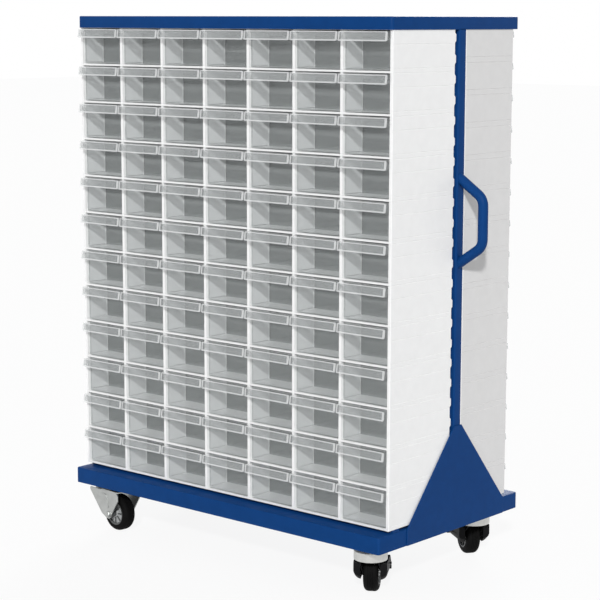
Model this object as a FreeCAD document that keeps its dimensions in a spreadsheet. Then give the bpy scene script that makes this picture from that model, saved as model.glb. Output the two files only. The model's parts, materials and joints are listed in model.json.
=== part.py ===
"""A double-sided drawer trolley: two blocks of clear drawers on a wheeled steel frame.

Millimetres. The origin is on the floor under the middle of the base, +X runs along the
drawer fronts, the front drawers face -Y, the back drawers face +Y, and +Z is up.
"""
import FreeCAD, Part
import math
import os
import Sketcher

DIMENSIONS = {
    # steel frame
    "end_margin": 2, "base_depth": 585, "base_lip": 42, "top_depth": 519, "top_lip": 31,
    "sheet_thick": 1.5, "post_size": 30, "post_wall": 2, "post_y": 20,
    "rail_height": 25, "low_rail_rise": 122, "middle_rail_rise": 652,
    "gusset_thick": 3, "gusset_foot": 408, "gusset_rise": 226,
    "handle_tube": 25, "handle_wall": 2, "handle_reach": 68, "handle_spacing": 208,
    "handle_grip": 117, "handle_bend": 34, "handle_rise": 741,
    "bolster_width": 110, "bolster_wall": 3,
    # castors
    "castor_height": 128, "castor_end_inset": 73, "castor_front_inset": 60.5, "castor_back_inset": 91.5,
    "wheel_diameter": 100, "wheel_width": 38, "hub_diameter": 68, "tyre_round": 12,
    "castor_trail": 38, "plate_edge": 11, "plate_thick": 3.5,
    "bolt_span_x": 82, "bolt_span_y": 62, "bolt_diameter": 8, "bolt_head": 13, "bolt_head_rise": 5,
    "race_diameter": 66, "race_rise": 6, "crown_diameter": 84, "crown_rise": 25, "crown_wall": 3,
    "kingpin_diameter": 12, "kingpin_head": 22, "kingpin_head_rise": 4,
    "leg_thick": 3, "leg_gap": 3, "leg_top": 76, "leg_eye": 26,
    "wide_leg_gap": 19, "wide_leg_front": 41, "wide_leg_rear": 79,
    "axle_diameter": 10, "axle_head": 17, "axle_head_rise": 5, "axle_head_braked": 16, "axle_collar": 18,
    "hub_recess": 5, "hub_rim": 6, "hub_boss": 22,
    "brake_width": 84, "brake_front": 46, "brake_drop": 7, "brake_skirt": 12, "brake_toe": 8,
    "brake_toe_thick": 9, "brake_round": 20,
    "turn_front_left": -5, "turn_front_right": 122, "turn_back_right": 145, "turn_back_left": 205,
    # drawer blocks
    "bearer_height": 8, "bearer_width": 24, "bearer_inset": 18,
    "columns": 7, "opening_width": 143.5, "partition": 8, "shelf": 5, "panel": 3,
    "front_rows": 12, "front_pitch": 100, "front_depth": 258,
    "back_rows": 15, "back_pitch": 80, "back_depth": 203,
    "screw_diameter": 5, "screw_head": 9.5, "screw_head_rise": 3, "screw_length": 10,
    # drawers
    "drawer_recess": 3, "drawer_rear_gap": 5, "drawer_wall": 2, "drawer_floor": 2,
    "front_pull_reach": 17.5, "back_pull_reach": 13, "front_pull_height": 23, "back_pull_height": 18,
    "pull_lean": 3,
    "front_divider_at": 70, "back_divider_at": 62, "divider_thick": 1.6, "divider_drop": 14,
    # clearances
    "slide_gap": 0.75, "lift_gap": 3, "rest_gap": 0.2, "running_gap": 0.05, "face_gap": 0.3,
    "divider_gap": 0.25, "wheel_side_gap": 0.5, "pull_side_gap": 1.5, "pull_back_gap": 0.5,
}
SINGLE_ROW = 6          # front row, counted from the top, whose drawers are nodes of their own
BACK_BAND_ROWS = 5      # back rows that share one node

doc = FreeCAD.newDocument("drawer_trolley")
size = doc.addObject("Spreadsheet::Sheet", "size")
for line, (name, value) in enumerate(DIMENSIONS.items(), start=1):
    size.set(f"A{line}", name)
    size.set(f"B{line}", str(value))
    size.setAlias(f"B{line}", name)
doc.recompute()

# Places worked out from the sheet, as expressions.
BASE_TOP = "(size.castor_height + size.base_lip)"
BLOCK_BOTTOM = f"({BASE_TOP} + size.bearer_height)"
BLOCK_HEIGHT = "(size.front_rows * size.front_pitch + size.shelf)"
BLOCK_TOP = f"({BLOCK_BOTTOM} + {BLOCK_HEIGHT})"
TOP_UNDERSIDE = f"({BLOCK_TOP} + size.rail_height)"
TOP_SURFACE = f"({TOP_UNDERSIDE} + size.sheet_thick)"
BLOCK_LENGTH = "(size.columns * size.opening_width + (size.columns + 1) * size.partition)"
COLUMN_PITCH = "(size.opening_width + size.partition)"
HALF_FRAME = f"({BLOCK_LENGTH} / 2 + size.end_margin)"
FRAME_LENGTH = f"(2 * {HALF_FRAME})"
POST_FRONT = "(size.post_y - size.post_size / 2)"
POST_BACK = "(size.post_y + size.post_size / 2)"
FRONT_FACE = f"({POST_FRONT} - size.front_depth)"
BACK_FACE = f"({POST_BACK} + size.back_depth)"
WHEEL_Z = "(size.wheel_diameter / 2)"
PLATE_BOTTOM = "(size.castor_height - size.plate_thick)"
RACE_BOTTOM = f"({PLATE_BOTTOM} - size.race_rise)"
CROWN_TOP = f"({RACE_BOTTOM} - size.face_gap)"
CROWN_BOTTOM = f"({CROWN_TOP} - size.crown_rise)"
LEG_INSIDE = "(size.wheel_width / 2 + size.leg_gap)"
LEG_OUTSIDE = f"({LEG_INSIDE} + size.leg_thick)"
WIDE_INSIDE = "(size.wheel_width / 2 + size.wide_leg_gap)"
WIDE_OUTSIDE = f"({WIDE_INSIDE} + size.leg_thick)"
DRAWER_WIDTH = "(size.opening_width - 2 * size.slide_gap)"
PULL_WIDTH = f"({COLUMN_PITCH} - 2 * size.pull_side_gap)"


def number(expression):
    return float(size.evalExpression(str(expression)))


def place(thing, position):
    for axis, expression in zip("xyz", position):
        thing.setExpression(f"Placement.Base.{axis}", str(expression))
    return thing


def box(name, corner, extent):
    """A box from its lowest corner and its three lengths, all expressions."""
    solid = doc.addObject("Part::Box", name)
    for side, expression in zip(("Length", "Width", "Height"), extent):
        solid.setExpression(side, str(expression))
    return place(solid, corner)


AXES = {"x": (0, 1, 0, 90), "y": (1, 0, 0, -90), "z": (0, 0, 1, 0)}


def cylinder(name, start, radius, length, axis="z"):
    """A round bar that starts at a point and runs along +x, +y or +z."""
    solid = doc.addObject("Part::Cylinder", name)
    x, y, z, angle = AXES[axis]
    solid.Placement.Rotation = FreeCAD.Rotation(FreeCAD.Vector(x, y, z), angle)
    solid.setExpression("Radius", str(radius))
    solid.setExpression("Height", str(length))
    return place(solid, start)


def join(name, *pieces):
    fuse = doc.addObject("Part::MultiFuse", name)
    fuse.Shapes = list(pieces)
    fuse.Refine = True
    return fuse


def cut(name, base, *tools):
    result = doc.addObject("Part::Cut", name)
    result.Base = base
    result.Tool = tools[0] if len(tools) == 1 else join(f"{name}_tools", *tools)
    return result


def sketch(body, plane, name):
    """An empty sketch on one of the body's own origin planes."""
    drawing = body.newObject("Sketcher::SketchObject", name)
    flat = next(f for f in body.Origin.OriginFeatures if f.Role == plane)
    drawing.AttachmentSupport = [(flat, "")]
    drawing.MapMode = "FlatFace"
    return drawing


def outline(drawing, points):
    """A closed outline of straight sides whose corners are expressions."""
    spots = [FreeCAD.Vector(number(a), number(b), 0) for a, b in points]
    first = drawing.GeometryCount
    for start, end in zip(spots, spots[1:] + spots[:1]):
        drawing.addGeometry(Part.LineSegment(start, end), False)
    for i, (a, b) in enumerate(points):
        after = first + (i + 1) % len(points)
        drawing.addConstraint(Sketcher.Constraint("Coincident", first + i, 2, after, 1))
        for kind, expression in (("DistanceX", a), ("DistanceY", b)):
            value = number(expression)
            index = drawing.addConstraint(Sketcher.Constraint(kind, -1, 1, first + i, 1, value))
            drawing.setExpression(f"Constraints[{index}]", str(expression))


def pad(body, drawing, length, midplane=False, backwards=False):
    feature = body.newObject("PartDesign::Pad", f"{drawing.Name}_pad")
    feature.Profile = drawing
    feature.setExpression("Length", str(length))
    feature.Midplane = midplane
    feature.Reversed = backwards
    return feature


def pocket(body, drawing, length, backwards=False):
    feature = body.newObject("PartDesign::Pocket", f"{drawing.Name}_pocket")
    feature.Profile = drawing
    feature.setExpression("Length", str(length))
    feature.Reversed = backwards
    return feature


def rectangle(x_low, y_low, x_high, y_high):
    return [(x_low, y_low), (x_high, y_low), (x_high, y_high), (x_low, y_high)]


NODES = []


def node(piece, label):
    """Marks a finished object as a sub-part, written under its label."""
    piece.Label = label
    NODES.append(piece)
    return piece


def copies(label, *groups):
    """One sub-part made of placed copies: each group is a source, its spots and its turn about Z."""
    links = []
    for source, spots, turn in groups:
        for spot in spots:
            link = doc.addObject("App::Link", f"{label}_{len(links) + 1}")
            link.LinkedObject = source
            link.setExpression("Placement.Rotation.Angle", turn)
            links.append(place(link, spot))
    group = doc.addObject("Part::Compound", label)
    group.Links = links
    return node(group, label)


# ---------------------------------------------------------------- steel frame
def pan(label, length, depth, lip, top, notched):
    """A sheet-metal pan with its edges turned down."""
    sheet = "size.sheet_thick"
    body = box(f"{label}_outside", (f"-{length} / 2", f"-{depth} / 2", f"{top} - {lip}"),
               (length, depth, lip))
    tools = [box(f"{label}_inside",
                 (f"-{length} / 2 + {sheet}", f"-{depth} / 2 + {sheet}", f"{top} - {lip} - {sheet}"),
                 (f"{length} - 2 * {sheet}", f"{depth} - 2 * {sheet}", lip))]
    if notched:
        for side, x in (("left", f"-{length} / 2"), ("right", f"{length} / 2 - size.post_size")):
            tools.append(box(f"{label}_notch_{side}", (x, POST_FRONT, f"{top} - {lip} - {sheet}"),
                             ("size.post_size", "size.post_size", lip)))
    return node(cut(label, body, *tools), label)


pan("base_tray", FRAME_LENGTH, "size.base_depth", "size.base_lip", BASE_TOP, False)
pan("top_tray", FRAME_LENGTH, "size.top_depth", "size.top_lip", TOP_SURFACE, True)


def post():
    """A square tube, drawn round the origin and standing on it."""
    body = doc.addObject("PartDesign::Body", "post")
    section = sketch(body, "XY_Plane", "post_section")
    outer, inner = "size.post_size / 2", "(size.post_size / 2 - size.post_wall)"
    outline(section, rectangle(f"-{outer}", f"-{outer}", outer, outer))
    outline(section, rectangle(f"-{inner}", f"-{inner}", inner, inner))
    pad(body, section, f"{TOP_UNDERSIDE} - {BASE_TOP}")
    return body


def gusset():
    """A plate that spreads the post's foot along the base's end, drawn from the base's lower edge."""
    body = doc.addObject("PartDesign::Body", "gusset")
    face = sketch(body, "YZ_Plane", "gusset_face")
    foot, head = "size.gusset_foot / 2", "size.post_size / 2"
    rise = "(size.base_lip + size.gusset_rise)"
    outline(face, [(f"-{foot}", 0), (foot, 0), (foot, "size.base_lip"),
                   (head, rise), (f"-{head}", rise), (f"-{foot}", "size.base_lip")])
    pad(body, face, "size.gusset_thick")
    return body


def bent_bar(corners, bend, radius):
    """A round bar along straight runs that tangent arcs join."""
    edges = []
    start = corners[0]
    for before, corner, after in zip(corners, corners[1:], corners[2:]):
        back = (before - corner).normalize()
        ahead = (after - corner).normalize()
        half = back.getAngle(ahead) / 2
        reach = bend / math.tan(half)
        inward = (back + ahead).normalize() * (bend / math.sin(half) - bend)
        edges.append(Part.LineSegment(start, corner + back * reach).toShape())
        edges.append(Part.Arc(corner + back * reach, corner + inward, corner + ahead * reach).toShape())
        start = corner + ahead * reach
    edges.append(Part.LineSegment(start, corners[-1]).toShape())
    section = Part.Wire(Part.Circle(corners[0], corners[1] - corners[0], radius).toShape())
    return Part.Wire(edges).makePipeShell([section], True, False)


def handle():
    """A D-shaped tube handle: its legs lean in from the post's face to the grip."""
    reach, spacing, grip = (number(f"size.handle_{part}") for part in ("reach", "spacing", "grip"))
    outer = number("size.handle_tube / 2")
    lean = (spacing - grip) / 2 / reach
    sunk = 2 * outer    # the legs are drawn this far inside the post, then cut at its face
    corners = [FreeCAD.Vector(-sunk, 0, -spacing / 2 - sunk * lean), FreeCAD.Vector(reach, 0, -grip / 2),
               FreeCAD.Vector(reach, 0, grip / 2), FreeCAD.Vector(-sunk, 0, spacing / 2 + sunk * lean)]
    bend = number("size.handle_bend")
    tube = bent_bar(corners, bend, outer).cut(bent_bar(corners, bend, outer - number("size.handle_wall")))
    behind = Part.makeBox(2 * spacing, 2 * spacing, 2 * spacing,
                          FreeCAD.Vector(-2 * spacing, -spacing, -spacing))
    bar = doc.addObject("Part::Feature", "handle")
    bar.Shape = tube.cut(behind)
    return bar


post_source, gusset_source = post(), gusset()
POST_X = f"({HALF_FRAME} - size.post_size / 2)"
copies("post_right", (post_source, [(POST_X, "size.post_y", BASE_TOP)], "0"))
copies("post_left", (post_source, [(f"-{POST_X}", "size.post_y", BASE_TOP)], "0"))
copies("gusset_right", (gusset_source, [(HALF_FRAME, "size.post_y", "size.castor_height")], "0"))
copies("gusset_left", (gusset_source, [(f"-{HALF_FRAME} - size.gusset_thick", "size.post_y",
                                        "size.castor_height")], "0"))
handle_source = handle()
HANDLE_Z = f"({BASE_TOP} + size.handle_rise)"
copies("handle_right", (handle_source, [(HALF_FRAME, "size.post_y", HANDLE_Z)], "0"))
copies("handle_left", (handle_source, [(f"-{HALF_FRAME}", "size.post_y", HANDLE_Z)], "180"))

# Rails between the posts: the blocks stand against them, and the top rail carries the top tray.
RAIL_START = f"(size.post_size - {HALF_FRAME})"
RAIL_LENGTH = f"({FRAME_LENGTH} - 2 * size.post_size)"
RAIL_Z = (f"({BLOCK_BOTTOM} + size.low_rail_rise)", f"({BLOCK_BOTTOM} + size.middle_rail_rise)", BLOCK_TOP)
SCREW_COLUMNS = (1, 3, 5)      # the screws sit on the centre lines of these columns, from 0


def column_x(column):
    return f"(({column} + 0.5) * {COLUMN_PITCH} + size.partition / 2 - {BLOCK_LENGTH} / 2)"


def rail():
    """A square tube along X with its front wall on y = 0, drilled across for the block screws."""
    depth, height, wall = "size.post_size", "size.rail_height", "size.post_wall"
    outside = box("rail_outside", (RAIL_START, 0, 0), (RAIL_LENGTH, depth, height))
    inside = box("rail_inside", (RAIL_START, wall, wall),
                 (RAIL_LENGTH, f"{depth} - 2 * {wall}", f"{height} - 2 * {wall}"))
    holes = [cylinder(f"rail_hole_{c}", (column_x(c), 0, f"{height} / 2"),
                      "size.screw_diameter / 2 + size.running_gap", depth, "y") for c in SCREW_COLUMNS]
    return cut("rail", outside, inside, *holes)


copies("tie_rails", (rail(), [(0, POST_FRONT, z) for z in RAIL_Z], "0"))

# Bolsters stiffen the base tray over the castors.
BOLSTER_HEIGHT = "(size.base_lip - size.sheet_thick)"
INNER_DEPTH = "(size.base_depth - 2 * size.sheet_thick)"
CASTOR_X = f"({HALF_FRAME} - size.castor_end_inset)"
CASTOR_FRONT_Y = "(size.castor_front_inset - size.base_depth / 2)"
CASTOR_BACK_Y = "(size.base_depth / 2 - size.castor_back_inset)"
CASTORS = {
    "front_left": (f"-{CASTOR_X}", CASTOR_FRONT_Y),
    "front_right": (CASTOR_X, CASTOR_FRONT_Y),
    "back_left": (f"-{CASTOR_X}", CASTOR_BACK_Y),
    "back_right": (CASTOR_X, CASTOR_BACK_Y),
}
BOLT_SPOTS = [(f"{i} * size.bolt_span_x / 2", f"{j} * size.bolt_span_y / 2") for i in (-1, 1) for j in (-1, 1)]
BOLT_RADIUS = "(size.bolt_diameter / 2)"


def bolster():
    """A box section across the base, drilled for the bolts of a front and a back castor."""
    half, wall = "size.bolster_width / 2", "size.bolster_wall"
    outside = box("bolster_outside", (f"-{half}", f"-{INNER_DEPTH} / 2", 0),
                  ("size.bolster_width", INNER_DEPTH, BOLSTER_HEIGHT))
    inside = box("bolster_inside", (f"{wall} - {half}", f"-{INNER_DEPTH} / 2", wall),
                 (f"size.bolster_width - 2 * {wall}", INNER_DEPTH, f"{BOLSTER_HEIGHT} - 2 * {wall}"))
    holes = [cylinder(f"bolster_hole_{len(BOLT_SPOTS) * k + i}", (x, f"{y} + {middle}", 0),
                      f"{BOLT_RADIUS} + size.running_gap", wall)
             for k, middle in enumerate((CASTOR_FRONT_Y, CASTOR_BACK_Y))
             for i, (x, y) in enumerate(BOLT_SPOTS)]
    return cut("bolster", outside, inside, *holes)


copies("base_bolsters", (bolster(), [(f"-{CASTOR_X}", 0, "size.castor_height"),
                                     (CASTOR_X, 0, "size.castor_height")], "0"))

# Bearers lift the blocks off the base tray and leave a dark line under them.
bearer_source = box("bearer", (0, 0, 0), (BLOCK_LENGTH, "size.bearer_width", "size.bearer_height"))
BEARER_Y = (f"{FRONT_FACE} + size.bearer_inset", f"{POST_FRONT} - size.bearer_inset - size.bearer_width",
            f"{POST_BACK} + size.bearer_inset", f"{BACK_FACE} - size.bearer_inset - size.bearer_width")
copies("block_bearers", (bearer_source, [(f"-{BLOCK_LENGTH} / 2", y, BASE_TOP) for y in BEARER_Y], "0"))


# ---------------------------------------------------------------- castors
# Each castor is drawn with its swivel axis on the origin's and its wheel trailing along +X.
AXLE_X = "size.castor_trail"


def castor_plate():
    """The fixed plate with the upper half of its ball race, bored for the kingpin."""
    length, width = (f"(size.bolt_span_{way} + 2 * size.plate_edge)" for way in "xy")
    plate = box("plate_slab", (f"-{length} / 2", f"-{width} / 2", PLATE_BOTTOM), (length, width, "size.plate_thick"))
    race = cylinder("plate_race", (0, 0, RACE_BOTTOM), "size.race_diameter / 2", "size.race_rise")
    bores = [cylinder("plate_bore", (0, 0, RACE_BOTTOM), "size.kingpin_diameter / 2 + size.running_gap",
                      "size.race_rise + size.plate_thick")]
    for i, (x, y) in enumerate(BOLT_SPOTS):
        bores.append(cylinder(f"plate_hole_{i}", (x, y, PLATE_BOTTOM),
                              f"{BOLT_RADIUS} + size.running_gap", "size.plate_thick"))
    return cut("castor_plate", join("plate_blank", plate, race), *bores)


def castor_bolt():
    """A hexagon-head bolt that goes up through the plate into the bolster's lower wall."""
    head = doc.addObject("Part::Prism", "bolt_head")
    head.Polygon = 6
    head.setExpression("Circumradius", "size.bolt_head / sqrt(3)")
    head.setExpression("Height", "size.bolt_head_rise")
    place(head, (0, 0, f"{PLATE_BOTTOM} - size.bolt_head_rise"))
    shank = cylinder("bolt_shank", (0, 0, PLATE_BOTTOM), BOLT_RADIUS,
                     "size.plate_thick + size.bolster_wall + size.bolt_diameter / 2")
    return join("castor_bolt", head, shank)


def kingpin():
    """The rivet that holds fork and plate together: a head under the crown."""
    head_top = f"({CROWN_TOP} - size.crown_wall - size.face_gap)"
    head = cylinder("kingpin_head", (0, 0, f"{head_top} - size.kingpin_head_rise"),
                    "size.kingpin_head / 2", "size.kingpin_head_rise")
    stem = cylinder("kingpin_stem", (0, 0, head_top), "size.kingpin_diameter / 2",
                    f"size.castor_height - {head_top}")
    return join("kingpin", head, stem)


def crown(name, inside_y, hood):
    """The fork's pressed cap: a cup, open below and behind for the wheel, bored for the kingpin.

    A wide fork's cap runs on behind the cup as a flat hood that its legs hang from.
    """
    radius = "size.crown_diameter / 2"
    cap = cylinder(f"{name}_cap", (0, 0, CROWN_BOTTOM), radius, "size.crown_rise")
    if hood:
        flat = box(f"{name}_hood", (0, f"-{WIDE_OUTSIDE}", f"{CROWN_TOP} - size.crown_wall"),
                   ("size.wide_leg_rear", f"2 * {WIDE_OUTSIDE}", "size.crown_wall"))
        cap = join(f"{name}_blank", cap, flat)
    inside = cylinder(f"{name}_inside", (0, 0, CROWN_BOTTOM), f"{radius} - size.crown_wall",
                      "size.crown_rise - size.crown_wall")
    bore = cylinder(f"{name}_bore", (0, 0, CROWN_BOTTOM),
                    "size.kingpin_diameter / 2 + size.running_gap", "size.crown_rise")
    slot = box(f"{name}_slot", (0, f"-{inside_y}", CROWN_BOTTOM),
               ("size.crown_diameter", f"2 * {inside_y}", "size.crown_rise - size.crown_wall"))
    return cut(name, cap, inside, bore, slot)


def leg(name, y, wide):
    """A tapering side of the fork, from the crown down round the axle's eye."""
    top, eye = "size.leg_top / 2", "size.leg_eye / 2"
    front, rear = ("size.wide_leg_front", "size.wide_leg_rear") if wide else (top, top)
    knee = f"{CROWN_BOTTOM} + 0.6 * size.crown_rise" if wide else CROWN_BOTTOM
    body = doc.addObject("PartDesign::Body", name)
    face = sketch(body, "XZ_Plane", f"{name}_face")
    outline(face, [(f"-{front}", f"{CROWN_TOP} - size.crown_wall"), (rear, f"{CROWN_TOP} - size.crown_wall"),
                   (rear, CROWN_BOTTOM),
                   (f"{AXLE_X} + {eye}", WHEEL_Z), (f"{AXLE_X} + {eye} / 2", f"{WHEEL_Z} - {eye} * 0.9"),
                   (f"{AXLE_X} - {eye} / 2", f"{WHEEL_Z} - {eye} * 0.9"),
                   (f"{AXLE_X} - {eye} * {2.2 if wide else 1}", WHEEL_Z), (f"-{front}", knee)])
    pad(body, face, "size.leg_thick", backwards=True)
    return place(body, (0, y, 0))


def fork(name, inside, outside, wide):
    """Crown and two legs, pressed from one sheet, bored for the axle."""
    shell = join(f"{name}_shell", crown(f"{name}_crown", inside, wide),
                 leg(f"{name}_leg_near", f"-{outside}", wide), leg(f"{name}_leg_far", inside, wide))
    bore = cylinder(f"{name}_axle_bore", (AXLE_X, f"-{outside}", WHEEL_Z),
                    "size.axle_diameter / 2 + size.running_gap", f"2 * {outside}", "y")
    return cut(name, shell, bore)


def axle(name, outside, head, rise):
    """The wheel's axle bolt, with a round head against each leg."""
    bar = cylinder(f"{name}_bar", (AXLE_X, f"-{outside}", WHEEL_Z), "size.axle_diameter / 2",
                   f"2 * {outside}", "y")
    near = cylinder(f"{name}_near", (AXLE_X, f"-{outside} - {rise}", WHEEL_Z), f"{head} / 2", rise, "y")
    far = cylinder(f"{name}_far", (AXLE_X, outside, WHEEL_Z), f"{head} / 2", rise, "y")
    return join(name, bar, near, far)


def collared_axle(name):
    """The axle bolt of a wide fork: a collar on each side keeps the wheel off the legs."""
    plain = axle(f"{name}_bolt", WIDE_OUTSIDE, "size.axle_head", "size.axle_head_rise")
    collars = [cylinder(f"{name}_collar_{side}", (AXLE_X, y, WHEEL_Z), "size.axle_collar / 2", "size.wide_leg_gap", "y")
               for side, y in (("near", f"-{WIDE_INSIDE}"), ("far", "size.wheel_width / 2"))]
    return join(name, plain, *collars)


def ring(name, outer, inner, width):
    """A ring round the axle's line, as wide as the wheel."""
    outside = cylinder(f"{name}_outside", (AXLE_X, f"-{width} / 2", WHEEL_Z), outer, width, "y")
    inside = cylinder(f"{name}_inside", (AXLE_X, f"-{width} / 2", WHEEL_Z), inner, width, "y")
    return cut(name, outside, inside)


def tyre():
    """The rubber ring, its tread rounded at both shoulders."""
    outer = "size.wheel_diameter / 2"
    blank = ring("tyre_blank", outer, "size.hub_diameter / 2 + size.running_gap", "size.wheel_width")
    doc.recompute()
    shoulder = number("size.tyre_round")
    rounded = doc.addObject("Part::Fillet", "tyre")
    rounded.Base = blank
    rounded.Edges = [(i, shoulder, shoulder) for i, edge in enumerate(blank.Shape.Edges, start=1)
                     if edge.Closed and abs(edge.Length - 2 * math.pi * number(outer)) < 0.01]
    return rounded


def hub():
    """The wheel's disc: a rim and a boss with a recessed web between them."""
    width = "size.wheel_width - 2 * size.wheel_side_gap"
    bore = "size.axle_diameter / 2 + size.running_gap"
    disc = ring("hub_disc", "size.hub_diameter / 2", bore, f"({width})")
    rim = "size.hub_diameter / 2 - size.hub_rim"
    recesses = []
    for side, y in (("near", f"-({width}) / 2"), ("far", f"({width}) / 2 - size.hub_recess")):
        out = cylinder(f"recess_out_{side}", (AXLE_X, y, WHEEL_Z), rim, "size.hub_recess", "y")
        keep = cylinder(f"recess_keep_{side}", (AXLE_X, y, WHEEL_Z), "size.hub_boss / 2",
                        "size.hub_recess", "y")
        recesses.append(cut(f"recess_{side}", out, keep))
    return cut("hub", disc, *recesses)


def brake():
    """A moulded pedal: a cheek outside each leg, turning on the axle's heads, and a toe bar behind."""
    half = "size.brake_width / 2"
    inside = f"({LEG_OUTSIDE} + size.face_gap)"
    top = f"({CROWN_BOTTOM} - size.brake_drop)"
    front = f"({AXLE_X} - size.brake_front)"
    wheel_clear = "(size.wheel_diameter / 2 + size.leg_gap)"
    toe_end = f"({AXLE_X} + {wheel_clear} + size.brake_toe)"
    toe_low = f"({WHEEL_Z} - size.brake_toe_thick)"
    skirt = f"({WHEEL_Z} - size.brake_skirt)"
    pieces = []
    for name, y in (("cheek_near", f"-{half}"), ("cheek_far", inside)):
        body = doc.addObject("PartDesign::Body", name)
        face = sketch(body, "XZ_Plane", f"{name}_face")
        outline(face, [(front, top), (f"{AXLE_X} + size.brake_skirt * 2", top), (toe_end, WHEEL_Z),
                       (toe_end, toe_low), (f"{AXLE_X} + size.brake_skirt", skirt),
                       (f"{front} + size.brake_skirt", skirt), (front, f"{skirt} + size.brake_skirt")])
        pad(body, face, f"{half} - {inside}", backwards=True)
        pieces.append(place(body, (0, y, 0)))
    pieces.append(box("toe_bar", (f"{AXLE_X} + {wheel_clear}", f"-{half}", toe_low),
                      ("size.brake_toe", f"2 * {half}", "size.brake_toe_thick")))
    bore = cylinder("brake_bore", (AXLE_X, f"-{half}", WHEEL_Z),
                    "size.axle_head_braked / 2 + size.running_gap", f"2 * {half}", "y")
    block = box("brake_block", (front, f"-{half}", skirt), (f"{toe_end} - {front}", "size.brake_width", f"{top} - {skirt}"))
    doc.recompute()
    low_edges = [i for i, edge in enumerate(block.Shape.Edges, start=1)
                 if edge.BoundBox.ZMax < number(skirt) + 0.01 and edge.BoundBox.XLength > 1]
    soft = doc.addObject("Part::Fillet", "brake_soft")
    soft.Base = block
    soft.Edges = [(i, number("size.brake_round"), number("size.brake_round")) for i in low_edges]
    shell = doc.addObject("Part::MultiCommon", "brake_rounded")
    shell.Shapes = [join("brake_shell", *pieces), soft]
    return cut("brake", shell, bore)


CASTOR_PLACES = [(x, y, 0) for x, y in CASTORS.values()]
BOLT_PLACES = [(f"{x} + {dx}", f"{y} + {dy}", 0) for x, y in CASTORS.values() for dx, dy in BOLT_SPOTS]
copies("castor_plates", (castor_plate(), CASTOR_PLACES, "0"))
copies("castor_bolts", (castor_bolt(), BOLT_PLACES, "0"))
copies("castor_kingpins", (kingpin(), CASTOR_PLACES, "0"))
wide_fork = fork("wide_fork", WIDE_INSIDE, WIDE_OUTSIDE, True)
braked_fork = fork("braked_fork", LEG_INSIDE, LEG_OUTSIDE, False)
plain_axle = collared_axle("plain_axle")
braked_axle = axle("braked_axle", LEG_OUTSIDE, "size.axle_head_braked", f"(size.brake_width / 2 - {LEG_OUTSIDE})")
tyre_source, hub_source, brake_source = tyre(), hub(), brake()
for corner, (x, y) in CASTORS.items():
    turn, spot = f"size.turn_{corner}", [(x, y, 0)]
    braked = corner.endswith("right")
    copies(f"castor_fork_{corner}", (braked_fork if braked else wide_fork, spot, turn))
    copies(f"castor_axle_{corner}", (braked_axle if braked else plain_axle, spot, turn))
    copies(f"castor_hub_{corner}", (hub_source, spot, turn))
    copies(f"castor_tyre_{corner}", (tyre_source, spot, turn))
    if braked:
        copies(f"castor_brake_{corner}", (brake_source, spot, turn))


# ---------------------------------------------------------------- drawer blocks
def block(side, rows, pitch, low_y, depth, panel_y):
    """Shelves, the upright partitions between them and a back panel, in white plastic."""
    inner_depth = f"({depth} - size.panel)"
    start = f"-{BLOCK_LENGTH} / 2"
    shelf = box(f"{side}_shelf", (start, low_y, 0), (BLOCK_LENGTH, inner_depth, "size.shelf"))
    upright = box(f"{side}_upright", (start, low_y, 0), ("size.partition", inner_depth, f"{pitch} - size.shelf"))
    row_z = [f"{BLOCK_BOTTOM} + {row} * {pitch}" for row in range(rows + 1)]
    steps = range(int(number("size.columns")) + 1)
    copies(f"{side}_shelves", (shelf, [(start, low_y, z) for z in row_z], "0"))
    uprights = [(f"{start} + {step} * {COLUMN_PITCH}", low_y, f"{z} + size.shelf")
                for z in row_z[:-1] for step in steps]
    copies(f"{side}_partitions", (upright, uprights, "0"))
    panel = box(f"{side}_panel_blank", (start, panel_y, BLOCK_BOTTOM), (BLOCK_LENGTH, "size.panel", BLOCK_HEIGHT))
    holes = [cylinder(f"{side}_panel_hole_{c}_{i}", (column_x(c), panel_y, f"{z} + size.rail_height / 2"),
                      "size.screw_diameter / 2 + size.running_gap", "size.panel", "y")
             for c in SCREW_COLUMNS for i, z in enumerate(RAIL_Z[:-1])]
    node(cut(f"{side}_panel", panel, *holes), f"{side}_panel")


front_rows = int(number("size.front_rows"))
back_rows = int(number("size.back_rows"))
FRONT_PANEL_Y = f"({POST_FRONT} - size.panel)"
BACK_LOW_Y = f"({POST_BACK} + size.panel)"
block("front", front_rows, "size.front_pitch", FRONT_FACE, "size.front_depth", FRONT_PANEL_Y)
block("back", back_rows, "size.back_pitch", BACK_LOW_Y, "size.back_depth", POST_BACK)


def screw():
    """A pan-head screw whose head's underside is on y = 0 and whose shank runs along +Y."""
    head = cylinder("screw_head", (0, "-size.screw_head_rise", 0), "size.screw_head / 2",
                    "size.screw_head_rise", "y")
    shank = cylinder("screw_shank", (0, 0, 0), "size.screw_diameter / 2", "size.screw_length", "y")
    return join("screw", head, shank)


def screw_spots(y):
    return [(column_x(c), y, f"{z} + size.rail_height / 2") for c in SCREW_COLUMNS for z in RAIL_Z[:-1]]


screw_source = screw()
copies("block_screws", (screw_source, screw_spots(FRONT_PANEL_Y), "0"),
       (screw_source, screw_spots(BACK_LOW_Y), "180"))


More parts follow.
